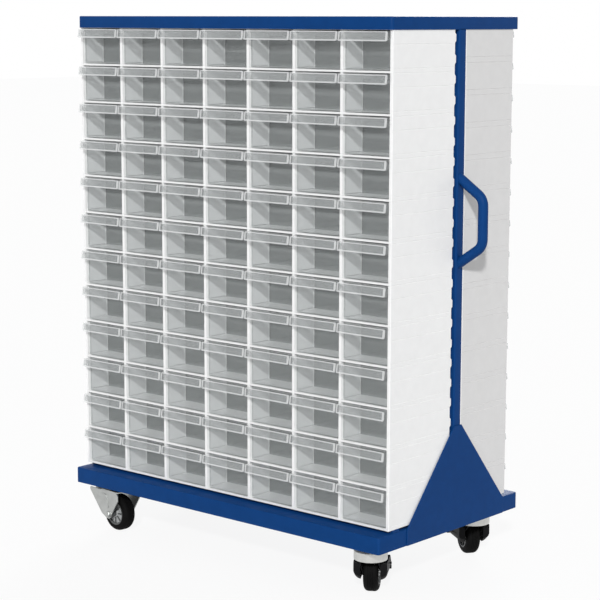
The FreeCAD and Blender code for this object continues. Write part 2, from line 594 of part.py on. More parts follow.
# ---------------------------------------------------------------- drawers
def drawer(side, depth, pitch, reach, pull_height):
    """A clear tray, open above, with a leaning label holder across its front as the pull.

    It is drawn with its front face on y = 0, its floor on z = 0 and centred on x = 0. The pull
    stands on a neck in the opening and covers half of each partition beside it.
    """
    length = f"({depth} - size.panel - size.drawer_recess - size.drawer_rear_gap)"
    height = f"({pitch} - size.shelf - size.lift_gap)"
    half, wall = f"({DRAWER_WIDTH} / 2)", "size.drawer_wall"
    body = doc.addObject("PartDesign::Body", f"{side}_drawer")
    plan = sketch(body, "XY_Plane", f"{side}_drawer_plan")
    outline(plan, rectangle(f"-{half}", 0, half, length))
    pad(body, plan, height)
    cavity = sketch(body, "XY_Plane", f"{side}_drawer_cavity")
    cavity.setExpression("AttachmentOffset.Base.z", "size.drawer_floor")
    outline(cavity, rectangle(f"{wall} - {half}", wall, f"{half} - {wall}", f"{length} - {wall}"))
    pocket(body, cavity, height, backwards=True)
    low = f"({height} - {pull_height})"
    back = "(-size.drawer_recess - size.pull_back_gap)"
    out = f"(-size.drawer_recess - {reach})"
    neck = sketch(body, "YZ_Plane", f"{side}_drawer_neck")
    outline(neck, [(back, low), (0, low), (0, height), (back, height)])
    pad(body, neck, DRAWER_WIDTH, midplane=True)
    pull = sketch(body, "YZ_Plane", f"{side}_drawer_pull")
    outline(pull, [(back, low), (back, height), (f"{out} + size.pull_lean", height),
                   (out, f"{low} + size.drawer_wall"), (out, low)])
    pad(body, pull, PULL_WIDTH, midplane=True)
    return body


def divider(side, pitch):
    """A loose clear plate that stands across a drawer behind its front."""
    half = f"({DRAWER_WIDTH} / 2 - size.drawer_wall - size.divider_gap)"
    tall = f"({pitch} - size.shelf - size.lift_gap - size.drawer_floor - size.divider_drop)"
    body = doc.addObject("PartDesign::Body", f"{side}_divider")
    plan = sketch(body, "XY_Plane", f"{side}_divider_plan")
    outline(plan, rectangle(f"-{half}", 0, half, "size.divider_thick"))
    pad(body, plan, tall)
    return body


front_drawer = drawer("front", "size.front_depth", "size.front_pitch",
                      "size.front_pull_reach", "size.front_pull_height")
back_drawer = drawer("back", "size.back_depth", "size.back_pitch",
                     "size.back_pull_reach", "size.back_pull_height")
front_divider = divider("front", "size.front_pitch")
back_divider = divider("back", "size.back_pitch")
columns = range(int(number("size.columns")))


def drawer_places(rows, total, pitch, front_y, divider_y, column_list):
    """Where the drawers of some rows, counted from the top, and their dividers stand."""
    trays = []
    plates = []
    for row in rows:
        floor = f"({BLOCK_BOTTOM} + {total - row} * {pitch} + size.shelf + size.rest_gap)"
        for column in column_list:
            trays.append((column_x(column), front_y, floor))
            plates.append((column_x(column), divider_y, f"{floor} + size.drawer_floor"))
    return trays, plates


FRONT_Y = f"({FRONT_FACE} + size.drawer_recess)"
BACK_Y = f"({BACK_FACE} - size.drawer_recess)"


def front_drawers(label, row, column_list):
    trays, plates = drawer_places([row], front_rows, "size.front_pitch", FRONT_Y,
                                  f"{FRONT_Y} + size.front_divider_at", column_list)
    copies(label, (front_drawer, trays, "0"), (front_divider, plates, "0"))


for row in range(1, front_rows + 1):
    if row == SINGLE_ROW:
        for column in columns:
            front_drawers(f"front_drawer_{column + 1}", row, [column])
    else:
        front_drawers(f"front_drawers_row_{row:02d}", row, columns)
for band, top_row in enumerate(range(1, back_rows + 1, BACK_BAND_ROWS), start=1):
    band_rows = range(top_row, min(top_row + BACK_BAND_ROWS, back_rows + 1))
    trays, plates = drawer_places(band_rows, back_rows, "size.back_pitch", BACK_Y,
                                  f"{BACK_Y} - size.back_divider_at", columns)
    copies(f"back_drawers_band_{band}", (back_drawer, trays, "180"), (back_divider, plates, "180"))


# ---------------------------------------------------------------- check and write
doc.recompute()
for thing in doc.Objects:
    if "Invalid" in thing.State or "Error" in thing.State:
        raise RuntimeError(f"{thing.Label} did not recompute")
for piece in NODES:
    if piece.Shape.isNull() or not piece.Shape.isValid() or not piece.Shape.Solids:
        raise RuntimeError(f"{piece.Label} has no sound shape")
os.makedirs("parts", exist_ok=True)
for piece in NODES:
    piece.Shape.exportStep(f"parts/{piece.Label}.step")
print(len(NODES), "sub-parts,", sum(len(piece.Shape.Solids) for piece in NODES), "solids")
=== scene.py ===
"""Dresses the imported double-sided drawer trolley: housings, clear drawers, painted frame and castors."""
import json
import math

import bmesh
import bpy
from mathutils import Matrix, Vector

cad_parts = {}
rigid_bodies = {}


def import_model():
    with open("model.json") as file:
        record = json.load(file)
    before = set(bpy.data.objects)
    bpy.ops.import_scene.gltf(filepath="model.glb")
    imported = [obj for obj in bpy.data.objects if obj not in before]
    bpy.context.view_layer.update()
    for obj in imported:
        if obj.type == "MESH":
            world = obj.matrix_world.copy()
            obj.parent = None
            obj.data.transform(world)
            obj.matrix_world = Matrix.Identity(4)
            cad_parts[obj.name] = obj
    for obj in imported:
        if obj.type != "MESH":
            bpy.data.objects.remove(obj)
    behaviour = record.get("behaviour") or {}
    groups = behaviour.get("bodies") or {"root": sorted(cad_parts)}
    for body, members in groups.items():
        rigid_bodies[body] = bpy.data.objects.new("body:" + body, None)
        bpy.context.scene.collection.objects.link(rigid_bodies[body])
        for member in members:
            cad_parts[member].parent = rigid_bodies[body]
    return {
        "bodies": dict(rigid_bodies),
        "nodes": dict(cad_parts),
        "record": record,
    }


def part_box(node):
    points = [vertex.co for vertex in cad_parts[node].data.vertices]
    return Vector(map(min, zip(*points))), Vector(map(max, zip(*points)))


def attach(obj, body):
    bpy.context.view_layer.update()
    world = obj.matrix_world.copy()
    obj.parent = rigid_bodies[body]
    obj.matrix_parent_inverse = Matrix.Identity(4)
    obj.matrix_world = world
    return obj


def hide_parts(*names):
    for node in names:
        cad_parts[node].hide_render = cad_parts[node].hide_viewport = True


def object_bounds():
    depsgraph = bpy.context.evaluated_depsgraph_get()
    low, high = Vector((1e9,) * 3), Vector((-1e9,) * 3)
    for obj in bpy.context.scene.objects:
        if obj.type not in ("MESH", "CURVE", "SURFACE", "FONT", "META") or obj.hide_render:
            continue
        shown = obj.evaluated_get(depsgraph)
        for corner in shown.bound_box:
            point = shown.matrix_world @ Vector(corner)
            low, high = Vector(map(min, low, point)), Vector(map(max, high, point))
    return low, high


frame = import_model()
cad_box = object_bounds()
scene = bpy.context.scene
scene.view_settings.view_transform = "Standard"

MM = 0.001

# Sizes in millimetres that the housings and the drawers share
COLUMNS = 7
PITCH = {"front": 100.0, "back": 80.0}          # from one row of drawers to the next
PARTITION, SHELF, PANEL = 8.0, 5.0, 3.0         # the housings' thicknesses
SLIDE_GAP, REST_GAP, LIFT_GAP = 0.75, 0.2, 3.0  # beside, under and over a drawer
RECESS = 3.0                                    # from the housing's front edges back to a drawer's front
PULL_BACK_GAP, PULL_SIDE_GAP = 0.5, 1.5         # round a pull, which stands outside the housing


def node_box(name):
    """Lowest and highest corners of a CAD node, in millimetres."""
    low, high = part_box(name)
    return [v / MM for v in low], [v / MM for v in high]


# ---------------------------------------------------------------- meshes

BEVEL_SEGMENTS, BEVEL_ANGLE = 2, 40             # edges sharper than this many degrees are bevelled
MERGE_DISTANCE = 1e-6                           # in metres
LEAST_RADIUS = 0.15                             # of a rounded rectangle's corners once it is inset


class Shape:
    """Points and faces of one piece in millimetres. A face's paint is its place in the materials."""

    def __init__(self):
        self.points, self.faces, self.paints = [], [], []

    def add(self, points, faces, paints):
        base = len(self.points)
        self.points += [Vector(p) for p in points]
        self.faces += [[base + i for i in face] for face in faces]
        self.paints += paints

    def stamp(self, other, matrix):
        """Copies another shape in, moved or turned by the matrix."""
        self.add([matrix @ p for p in other.points], other.faces, other.paints)

    def box(self, low, high, paint=0):
        xs, ys, zs = zip(low, high)
        faces = [(0, 1, 3, 2), (4, 6, 7, 5), (0, 4, 5, 1), (2, 3, 7, 6), (0, 2, 6, 4), (1, 5, 7, 3)]
        self.add([(x, y, z) for x in xs for y in ys for z in zs], faces, [paint] * len(faces))

    def loft(self, rings, paint=0, caps=True):
        """Skins rings of equal count. A list of paints holds the first cap, each gap and the last cap."""
        count, gaps = len(rings[0]), len(rings) - 1
        given = paint if isinstance(paint, list) else [paint] * (gaps + 2)
        faces, paints = [], []
        for k in range(gaps):
            for i in range(count):
                j = (i + 1) % count
                faces.append((k * count + i, k * count + j, (k + 1) * count + j, (k + 1) * count + i))
            paints += [given[k + 1]] * count
        if caps:
            faces.append(tuple(reversed(range(count))))
            faces.append(tuple(range(gaps * count, (gaps + 1) * count)))
            paints += [given[0], given[-1]]
        self.add([p for ring in rings for p in ring], faces, paints)

    def prism(self, outline, low, high, axis, paint=0):
        """A polygon drawn in the other two axes, in their order, and run from low to high."""
        self.loft([[(*p[:axis], level, *p[axis:]) for p in outline] for level in (low, high)], paint)

    def turned(self, profile, segments, paint=0, closed=False):
        """Turns (radius, height) pairs about Z. A closed profile comes back to its first pair."""
        angles = [2 * math.pi * k / segments for k in range(segments)]
        rings = []
        for radius, height in profile:
            rings.append([(radius * math.cos(a), radius * math.sin(a), height) for a in angles])
        if closed:
            rings.append(rings[0])
        self.loft(rings, paint, caps=not closed)

    def piece(self, name, body, node, slot, materials, bevel=0.0, smooth=30):
        """Makes the shape an object that rides on a body and stands for a CAD node."""
        mesh = bpy.data.meshes.new(name)
        mesh.from_pydata([tuple(p * MM) for p in self.points], [], self.faces)
        for surface in materials:
            mesh.materials.append(surface)
        mesh.polygons.foreach_set("material_index", self.paints)
        joined = bmesh.new()
        joined.from_mesh(mesh)
        bmesh.ops.remove_doubles(joined, verts=joined.verts, dist=MERGE_DISTANCE)
        bmesh.ops.recalc_face_normals(joined, faces=joined.faces)
        joined.to_mesh(mesh)
        joined.free()
        mesh.shade_smooth()
        item = bpy.data.objects.new(name, mesh)
        scene.collection.objects.link(item)
        if bevel:
            edge = item.modifiers.new("edge", "BEVEL")
            edge.width = bevel * MM
            edge.segments = BEVEL_SEGMENTS
            edge.limit_method = "ANGLE"
            edge.angle_limit = math.radians(BEVEL_ANGLE)
            edge.harden_normals = True
        mesh.set_sharp_from_angle(angle=math.radians(smooth))
        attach(item, body)
        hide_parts(node)


def rounded(width, low, high, radii, inset=0.0, steps=4):
    """Rounded rectangle centred on the first axis, from low to high on the second."""
    x, points = width / 2 - inset, []
    low, high = low + inset, high - inset
    for k, (sx, sy) in enumerate(((1, -1), (1, 1), (-1, 1), (-1, -1))):
        radius = max(radii[k] - inset, LEAST_RADIUS)
        cx, cy = sx * (x - radius), (low + radius if sy < 0 else high - radius)
        start = 90 * (k - 1)
        for i in range(steps + 1):
            a = math.radians(start + 90 * i / steps)
            points.append((cx + radius * math.cos(a), cy + radius * math.sin(a)))
    return points


# ---------------------------------------------------------------- materials

MOTTLE_SCALE, MOTTLE_DETAIL = 40.0, 4           # the slow drift of a colour
MOTTLE_FROM, MOTTLE_TO = 0.3, 0.7               # the noise's values at the darkest and the palest
GRAIN_DETAIL, GRAIN_DEPTH = 3, 0.0004           # the skin's relief, its depth in metres


def noise(tree, place, scale, detail):
    """Noise that is fixed to the object's own coordinates."""
    made = tree.nodes.new("ShaderNodeTexNoise")
    made.inputs["Scale"].default_value = scale
    made.inputs["Detail"].default_value = detail
    tree.links.new(place.outputs["Object"], made.inputs["Vector"])
    return made.outputs["Fac"]


def material(name, colour, roughness, metallic=0.0, alpha=1.0, mottle=0.0, bump=0.0, bump_scale=900.0,
             specular=0.5):
    """A Principled surface whose colour drifts a little and whose skin has fine grain."""
    made = bpy.data.materials.new(name)
    made.use_nodes = True
    tree = made.node_tree
    shader = tree.nodes["Principled BSDF"]
    shader.inputs["Roughness"].default_value = roughness
    shader.inputs["Metallic"].default_value = metallic
    shader.inputs["Alpha"].default_value = alpha
    shader.inputs["Specular IOR Level"].default_value = specular
    shader.inputs["Base Color"].default_value = (*colour, 1)
    place = tree.nodes.new("ShaderNodeTexCoord")
    if mottle:
        drift = noise(tree, place, MOTTLE_SCALE, MOTTLE_DETAIL)
        ramp = tree.nodes.new("ShaderNodeValToRGB")
        dark, pale = ramp.color_ramp.elements
        dark.position, pale.position = MOTTLE_FROM, MOTTLE_TO
        dark.color = (*[c * (1 - mottle) for c in colour], 1)
        pale.color = (*[min(1, c * (1 + mottle)) for c in colour], 1)
        tree.links.new(drift, ramp.inputs["Fac"])
        tree.links.new(ramp.outputs["Color"], shader.inputs["Base Color"])
    if bump:
        grain = noise(tree, place, bump_scale, GRAIN_DETAIL)
        relief = tree.nodes.new("ShaderNodeBump")
        relief.inputs["Strength"].default_value = bump
        relief.inputs["Distance"].default_value = GRAIN_DEPTH
        tree.links.new(grain, relief.inputs["Height"])
        tree.links.new(relief.outputs["Normal"], shader.inputs["Normal"])
    return made


BLUE = material("blue_powder_coat", (0.004, 0.043, 0.170), 0.45, mottle=0.05, bump=0.25, bump_scale=1400,
                specular=0.06)
WHITE = material("white_moulding", (0.86, 0.86, 0.855), 0.42, mottle=0.015, bump=0.08)
# a darker copy of the white moulding, used for the back block
WARM = material("back_moulding", (0.68, 0.675, 0.67), 0.45, mottle=0.02, bump=0.08)
CLEAR = material("clear_moulding", (0.78, 0.81, 0.81), 0.12, alpha=0.06, mottle=0.03)
FROSTED = material("clear_moulding_rim", (0.88, 0.89, 0.89), 0.25, alpha=0.55, mottle=0.02)
# dark grey tint of the divider: painted shade on the drawer's rear part seen through it
DIVIDER_SHADE = material("clear_divider_painted_shade", (0.34, 0.365, 0.36), 0.15, alpha=0.42, mottle=0.03)
# grey tint of the label window: painted shade, standing in for the shade behind the pull
WINDOW = material("label_window_painted_shade", (0.46, 0.48, 0.48), 0.1, alpha=0.35, mottle=0.03)
SIDE = material("clear_moulding_side", (0.84, 0.86, 0.86), 0.25, alpha=0.85, mottle=0.02)
ZINC = material("zinc_plate", (0.44, 0.45, 0.44), 0.38, metallic=0.85, mottle=0.1, bump=0.1)
PLATED = material("bright_zinc_plate", (0.60, 0.60, 0.58), 0.35, metallic=0.8, mottle=0.08, bump=0.1)
RUBBER = material("black_tyre", (0.004, 0.004, 0.004), 0.7, mottle=0.2, bump=0.2, specular=0.07)
# black plastic of the pedals; also painted shade on the narrow forks' legs, so the gaps beside the wheel read
# dark
BLACK = material("black_pedal_and_leg_shade", (0.004, 0.004, 0.0045), 0.5, mottle=0.1, bump=0.15, specular=0.1)
GREY = material("grey_hub", (0.08, 0.084, 0.084), 0.4, mottle=0.06, bump=0.1)
# pale grey on one side of the hub: painted highlight, for light caught on the hub's face
HUB_HIGHLIGHT = material("grey_hub_painted_highlight", (0.34, 0.35, 0.35), 0.35, mottle=0.06)
PAINT_OF = {"blue_paint": BLUE, "zinc_steel": ZINC, "white_plastic": WHITE, "clear_plastic": CLEAR,
            "black_plastic": BLACK, "grey_plastic": GREY, "black_rubber": RUBBER}


def paint_cad_nodes():
    """Gives each CAD node the finish of its slot. Only those that no piece replaces are seen."""
    for part in frame["record"]["subparts"]:
        node = frame["nodes"][part["node"]]
        if not node.data.materials:
            node.data.materials.append(None)
        for slot in node.material_slots:
            slot.material = PAINT_OF[part["material_slot"]]


paint_cad_nodes()


# ---------------------------------------------------------------- camera, floor and light

PHOTO_PX, FOCAL_PX = 600, 1815.2                # the photo's width and the fitted focal length, in its pixels
SENSOR = 36.0                                   # the camera's sensor in millimetres
CLIP_NEAR, CLIP_FAR = 0.05, 60.0
CAMERA_AT = (3.1529, -3.6067, 1.4038)           # metres and radians, fitted to the photo's edges
CAMERA_TURN, CAMERA_DIP, CAMERA_ROLL = 0.71347, 0.1538, 0.00196
FLOOR_HALF, FLOOR_DROP = 30.0, 0.0005           # metres
FLOOR_COLOUR = (0.85, 0.85, 0.85, 1)
FLOOR_GLOW = 0.9                                # share of plain white in the floor that the camera sees
FULL_WHITE = (1, 1, 1, 1)
WORLD_COLOUR, WORLD_STRENGTH = (0.97, 0.98, 1.0, 1), 0.35
SUNS = (("key", 2.5, 4, (-0.55, 0.75, -0.5)),   # name, strength, spread in degrees and the way it shines
        ("fill", 1.6, 25, (0.45, -0.8, -0.4)))


def look():
    """The camera that was fitted to the photo."""
    data = bpy.data.cameras.new("camera")
    data.sensor_width, data.lens = SENSOR, FOCAL_PX / PHOTO_PX * SENSOR
    data.clip_start, data.clip_end = CLIP_NEAR, CLIP_FAR
    camera = bpy.data.objects.new("camera", data)
    turn = (Matrix.Rotation(CAMERA_TURN, 4, "Z") @ Matrix.Rotation(math.pi / 2 - CAMERA_DIP, 4, "X")
            @ Matrix.Rotation(CAMERA_ROLL, 4, "Z"))
    camera.matrix_world = Matrix.Translation(CAMERA_AT) @ turn
    scene.collection.objects.link(camera)
    scene.camera = camera


def seen_white(tree, shown, other):
    """Mixes two shaders: the camera, shiny surfaces and clear ones see the first, all else the second."""
    path = tree.nodes.new("ShaderNodeLightPath")
    most = tree.nodes.new("ShaderNodeMath")
    most.operation = "MAXIMUM"
    tree.links.new(path.outputs["Is Camera Ray"], most.inputs[0])
    again = tree.nodes.new("ShaderNodeMath")
    again.operation = "MAXIMUM"
    tree.links.new(path.outputs["Is Glossy Ray"], again.inputs[0])
    tree.links.new(path.outputs["Is Transmission Ray"], again.inputs[1])
    tree.links.new(again.outputs[0], most.inputs[1])
    mix = tree.nodes.new("ShaderNodeMixShader")
    tree.links.new(most.outputs[0], mix.inputs[0])
    tree.links.new(other, mix.inputs[1])
    tree.links.new(shown, mix.inputs[2])
    return mix.outputs[0]


def lay_floor():
    """A pale floor that looks white and keeps the object's shadow."""
    mesh = bpy.data.meshes.new("floor")
    half, level = FLOOR_HALF, -FLOOR_DROP + min(0.0, cad_box[0][2])
    mesh.from_pydata([(-half, -half, level), (half, -half, level), (half, half, level), (-half, half, level)],
                     [], [(0, 1, 2, 3)])
    ground = bpy.data.objects.new("floor", mesh)
    scene.collection.objects.link(ground)
    pale = bpy.data.materials.new("pale_floor")
    pale.use_nodes = True
    tree = pale.node_tree
    tree.nodes.remove(tree.nodes["Principled BSDF"])
    soft = tree.nodes.new("ShaderNodeBsdfDiffuse")
    soft.inputs["Color"].default_value = FLOOR_COLOUR
    glow = tree.nodes.new("ShaderNodeEmission")
    glow.inputs["Color"].default_value = FULL_WHITE
    blend = tree.nodes.new("ShaderNodeMixShader")
    blend.inputs[0].default_value = FLOOR_GLOW
    tree.links.new(soft.outputs[0], blend.inputs[1])
    tree.links.new(glow.outputs[0], blend.inputs[2])
    surface = seen_white(tree, blend.outputs[0], soft.outputs[0])
    tree.links.new(surface, tree.nodes["Material Output"].inputs["Surface"])
    mesh.materials.append(pale)


def light():
    """A world that looks white and lights the object dimly, and two suns."""
    world = bpy.data.worlds.new("studio")
    world.use_nodes = True
    scene.world = world
    tree = world.node_tree
    dim = tree.nodes["Background"]
    dim.inputs["Color"].default_value = WORLD_COLOUR
    dim.inputs["Strength"].default_value = WORLD_STRENGTH
    white = tree.nodes.new("ShaderNodeBackground")
    white.inputs["Color"].default_value = FULL_WHITE
    surface = seen_white(tree, white.outputs[0], dim.outputs[0])
    tree.links.new(surface, tree.nodes["World Output"].inputs["Surface"])
    for name, strength, spread, way in SUNS:
        lamp = bpy.data.lights.new(name, "SUN")
        lamp.energy, lamp.angle = strength, math.radians(spread)
        item = bpy.data.objects.new(name, lamp)
        item.rotation_euler = Vector(way).to_track_quat("-Z", "Y").to_euler()
        scene.collection.objects.link(item)


look()
lay_floor()
light()


# ---------------------------------------------------------------- housings

GROOVE_DEPTH, GROOVE_HALF, GROOVE_BED_HALF = 0.7, 1.1, 0.4
TAB = 4.5                                       # how far the tabs on an end wall's rear edge stand out
TAB_HALF, TAB_MIDDLE, TAB_TIP_HALF = 12, 10, 8  # heights from a tab's middle to its foot, flank and tip
EDGE_LONG, EDGE_DEEP = 1.5, 1.2                 # the chamfer along an end wall's upright edges
WALL_SMOOTH = 12                                # degrees, so that the grooves' edges stay crisp
WALL_SHORT = 13.5                               # the front end walls stop before the post: a dark gap
SHELF_INTO_WALL, PARTITION_INTO_SHELF = 0.6, 0.5
PARTITION_INSET = 0.4                           # of the partitions behind the shelves' edges
PANEL_MARGIN = 16
HOUSING_BEVEL = 0.9


def column_pitch(low, high):
    return (high - low - PARTITION) / COLUMNS


def partition_middles(low, high):
    pitch = column_pitch(low, high)
    return [low + PARTITION / 2 + k * pitch for k in range(COLUMNS + 1)]


def clamped(value):
    return max(0.0, min(1.0, value))


def end_wall(shape, side, face, front, rear, bottom, top, pitch, grooves, tabs):
    """One moulded end wall of a block: fine grooves across it, and tabs along its rear edge."""
    levels = {bottom, top}
    for row in range(round((top - bottom) / pitch)):
        for at in grooves:
            middle = bottom + row * pitch + at * pitch
            levels.update(middle + d for d in (-GROOVE_HALF, -GROOVE_BED_HALF, GROOVE_BED_HALF, GROOVE_HALF))
        for at in tabs:
            middle = bottom + row * pitch + at * pitch
            levels.update(middle + way * d for way in (-1, 1) for d in (TAB_HALF, TAB_MIDDLE, TAB_TIP_HALF))
    step = math.copysign(EDGE_LONG, rear - front)
    rings = []
    for z in sorted(v for v in levels if bottom <= v <= top):
        share = ((z - bottom) / pitch) % 1
        deep = 0.0
        for at in grooves:
            away = min(abs(share - at), 1 - abs(share - at)) * pitch
            deep = max(deep, GROOVE_DEPTH * clamped((GROOVE_HALF - away) / (GROOVE_HALF - GROOVE_BED_HALF)))
        tab = max((clamped((TAB_HALF - abs(share - at) * pitch) / (TAB_HALF - TAB_TIP_HALF)) for at in tabs),
                  default=0.0)
        back = rear + math.copysign(TAB * tab, rear - front)
        inner, outer = side * (face - PARTITION), side * (face - deep)
        rim = side * (face - max(deep, EDGE_DEEP))
        rings.append([(inner, front, z), (rim, front, z), (outer, front + step, z),
                      (outer, back - step, z), (rim, back, z), (inner, back, z)])
    shape.loft(rings)


def housing(side, grooves, tabs, short, skin):
    """Shelves and partitions of one block with soft front edges, ended by its moulded walls."""
    low, high = node_box(f"{side}_shelves")
    panel_low, panel_high = node_box(f"{side}_panel")
    if side == "front":
        front, rear = low[1], panel_low[1] - short
    else:
        front, rear = high[1], panel_high[1] + short
    pitch = PITCH[side]
    rows = round((high[2] - low[2] - SHELF) / pitch)
    shelves, uprights, walls = Shape(), Shape(), Shape()
    y0, y1 = sorted((front, rear))
    for row in range(rows + 1):
        z = low[2] + row * pitch
        shelves.box((low[0] + PARTITION - SHELF_INTO_WALL, y0, z),
                    (high[0] - PARTITION + SHELF_INTO_WALL, y1, z + SHELF))
    for row in range(rows):
        z = low[2] + row * pitch + SHELF
        bottom, top = z - PARTITION_INTO_SHELF, z + pitch - SHELF + PARTITION_INTO_SHELF
        for x in partition_middles(low[0], high[0])[1:-1]:
            uprights.box((x - PARTITION / 2, y0 + PARTITION_INSET, bottom),
                         (x + PARTITION / 2, y1 - PARTITION_INSET, top))
    for end in (-1, 1):
        end_wall(walls, end, high[0], front, rear, low[2], high[2], pitch, grooves, tabs)
    name, shelf_node, wall_node = f"{side}_housing", f"{side}_shelves", f"{side}_partitions"
    shelves.piece(f"{name}_shelves", "frame", shelf_node, "white_plastic", [skin], bevel=HOUSING_BEVEL)
    uprights.piece(f"{name}_partitions", "frame", wall_node, "white_plastic", [skin], bevel=HOUSING_BEVEL)
    walls.piece(f"{name}_end_walls", "frame", wall_node, "white_plastic", [skin], smooth=WALL_SMOOTH)
    if short:
        panel = Shape()
        panel.box((low[0] + PANEL_MARGIN, panel_low[1], panel_low[2]),
                  (high[0] - PANEL_MARGIN, panel_high[1], panel_high[2]))
        panel.piece(f"{name}_panel", "frame", f"{side}_panel", "white_plastic", [skin])


housing("front", (0.0, 0.11, 0.67), (0.30, 0.81), WALL_SHORT - PANEL, WHITE)
housing("back", (0.0, 0.17), (), 0.0, WARM)


# ---------------------------------------------------------------- painted frame

SHEET, FOLD = 1.5, 2.4                          # the trays' thickness and the outer radius of their fold
TOP_CORNER, BASE_CORNER = 9.0, 6.0              # the trays' corner radii
POST_CORNER, POST_INTO_TRAY = 4.5, 1.5
GUSSET_BEVEL = 0.7
HANDLE_RADIUS, HANDLE_FEET, HANDLE_GRIP, HANDLE_BEND = 12.5, 208.0, 117.0, 34.0
HANDLE_AROUND, BEND_STEPS = 28, 8
FINE_STEPS = 6                                  # points along a corner of a tray or a post
FRAME_SMOOTH = 40                               # degrees


def folded_tray(node, corner):
    """A sheet pan with its lip turned down, rounded at the corners and along the fold."""
    low, high = node_box(node)
    made = Shape()

    def ring(z, inset):
        outline = rounded(high[0] - low[0], low[1], high[1], (corner,) * 4, inset, FINE_STEPS)
        return [(x, y, z) for x, y in outline]

    made.loft([ring(high[2] - SHEET, SHEET), ring(low[2], SHEET), ring(low[2], 0), ring(high[2] - FOLD, 0),
               ring(high[2] - 0.3 * FOLD, 0.3 * FOLD), ring(high[2], FOLD)])
    made.piece(f"{node}_folded", "frame", node, "blue_paint", [BLUE], smooth=FRAME_SMOOTH)


def posts_and_gussets():
    """The square posts, run up into the top tray, and the gusset plates at their feet."""
    post_top = node_box("top_tray")[0][2] + POST_INTO_TRAY
    shoulder = node_box("base_tray")[1][2]
    for side in ("right", "left"):
        low, high = node_box(f"post_{side}")
        middle, size = (low[0] + high[0]) / 2, high[0] - low[0]
        outline = rounded(size, low[1], high[1], (POST_CORNER,) * 4, 0, FINE_STEPS)
        tube = Shape()
        tube.prism([(middle + x, y) for x, y in outline], low[2], post_top, 2)
        tube.piece(f"post_{side}_tube", "frame", f"post_{side}", "blue_paint", [BLUE], smooth=FRAME_SMOOTH)
        foot_low, foot_high = node_box(f"gusset_{side}")
        plate = Shape()
        plate.prism([(foot_low[1], foot_low[2]), (foot_high[1], foot_low[2]), (foot_high[1], shoulder),
                     (high[1], foot_high[2]), (low[1], foot_high[2]), (foot_low[1], shoulder)],
                    foot_low[0], foot_high[0], 0)
        plate.piece(f"gusset_{side}_plate", "frame", f"gusset_{side}", "blue_paint", [BLUE],
                    bevel=GUSSET_BEVEL)


def bent_path(corners, bend):
    """Points and directions along straight runs joined by arcs, in one plane."""
    path = [(corners[0], (corners[1] - corners[0]).normalized())]
    for before, corner, after in zip(corners, corners[1:], corners[2:]):
        back, ahead = (before - corner).normalized(), (after - corner).normalized()
        half = back.angle(ahead) / 2
        centre = corner + (back + ahead).normalized() * (bend / math.sin(half))
        start, turn = corner + back * (bend / math.tan(half)) - centre, math.pi - 2 * half
        spin = 1 if back.cross(ahead).y > 0 else -1
        for k in range(BEND_STEPS + 1):
            rotation = Matrix.Rotation(-spin * turn * k / BEND_STEPS, 3, "Y")
            path.append((centre + rotation @ start, rotation @ -back))
    path.append((corners[-1], (corners[-1] - corners[-2]).normalized()))
    return path


def handles():
    """D handles of bent tube, welded to the posts' outer faces."""
    face = node_box("post_right")[1][0]
    low, high = node_box("handle_right")
    y, z = (low[1] + high[1]) / 2, (low[2] + high[2]) / 2
    reach = high[0] - HANDLE_RADIUS - face
    corners = [Vector((0, 0, -HANDLE_FEET / 2)), Vector((reach, 0, -HANDLE_GRIP / 2)),
               Vector((reach, 0, HANDLE_GRIP / 2)), Vector((0, 0, HANDLE_FEET / 2))]
    path = bent_path(corners, HANDLE_BEND)
    for side, way in (("right", 1), ("left", -1)):
        tube, rings = Shape(), []
        for k, (point, ahead) in enumerate(path):
            across = ahead.cross(Vector((0, 1, 0)))
            ring = []
            for i in range(HANDLE_AROUND):
                a = 2 * math.pi * i / HANDLE_AROUND
                spot = point + HANDLE_RADIUS * (math.cos(a) * across + Vector((0, math.sin(a), 0)))
                if k in (0, len(path) - 1):
                    spot -= ahead * (spot.x / ahead.x)      # the tube ends flat on the post
                ring.append((way * (face + spot.x), y + spot.y, z + spot.z))
            rings.append(ring)
        tube.loft(rings)
        tube.piece(f"handle_{side}_tube", "frame", f"handle_{side}", "blue_paint", [BLUE],
                   smooth=FRAME_SMOOTH)


folded_tray("top_tray", TOP_CORNER)
folded_tray("base_tray", BASE_CORNER)
posts_and_gussets()
handles()


# ---------------------------------------------------------------- castors

AXLE_Z, AXLE_RADIUS = 50.0, 5
WHEEL_RADIUS, WHEEL_WIDTH, TYRE_INSIDE, HUB_BORE = 50.0, 38.0, 34.0, 5.05
TREAD_ROUND, TREAD_STEPS = 12.0, 8              # the tyre's shoulders
TREAD_GROOVES, TREAD_DEPTH = (-6.2, -2.1, 2.1, 6.2), 1.1
HUB_RIBS = 8
CUP_RADIUS, CUP_BOTTOM, CUP_TOP, CUP_WALL = 42.0, 93.2, 118.2, 3.0
CUP_CEILING = CUP_TOP - CUP_WALL
KINGPIN_HOLE = 6.1
LEG_THICK, NARROW_INSIDE, WIDE_INSIDE = 3.0, 22.0, 38.0     # insides are from the middle to a leg
EYE, LEG_CORNER = 13.0, 9                       # half the leg's width at the axle, and its corners
CUP_AROUND, HUB_AROUND, TYRE_AROUND, BOLT_AROUND = 72, 72, 96, 32
SKIRT_STEPS, HOOD_STEPS, LOBE_STEPS, CORNER_STEPS = 60, 16, 8, 4
SIDE_SHARE = 0.45                               # the most of a side that one rounded corner takes
CASTOR_SMOOTH = 35                              # degrees
ON_SIDE = Matrix.Rotation(math.pi / 2, 4, "X")


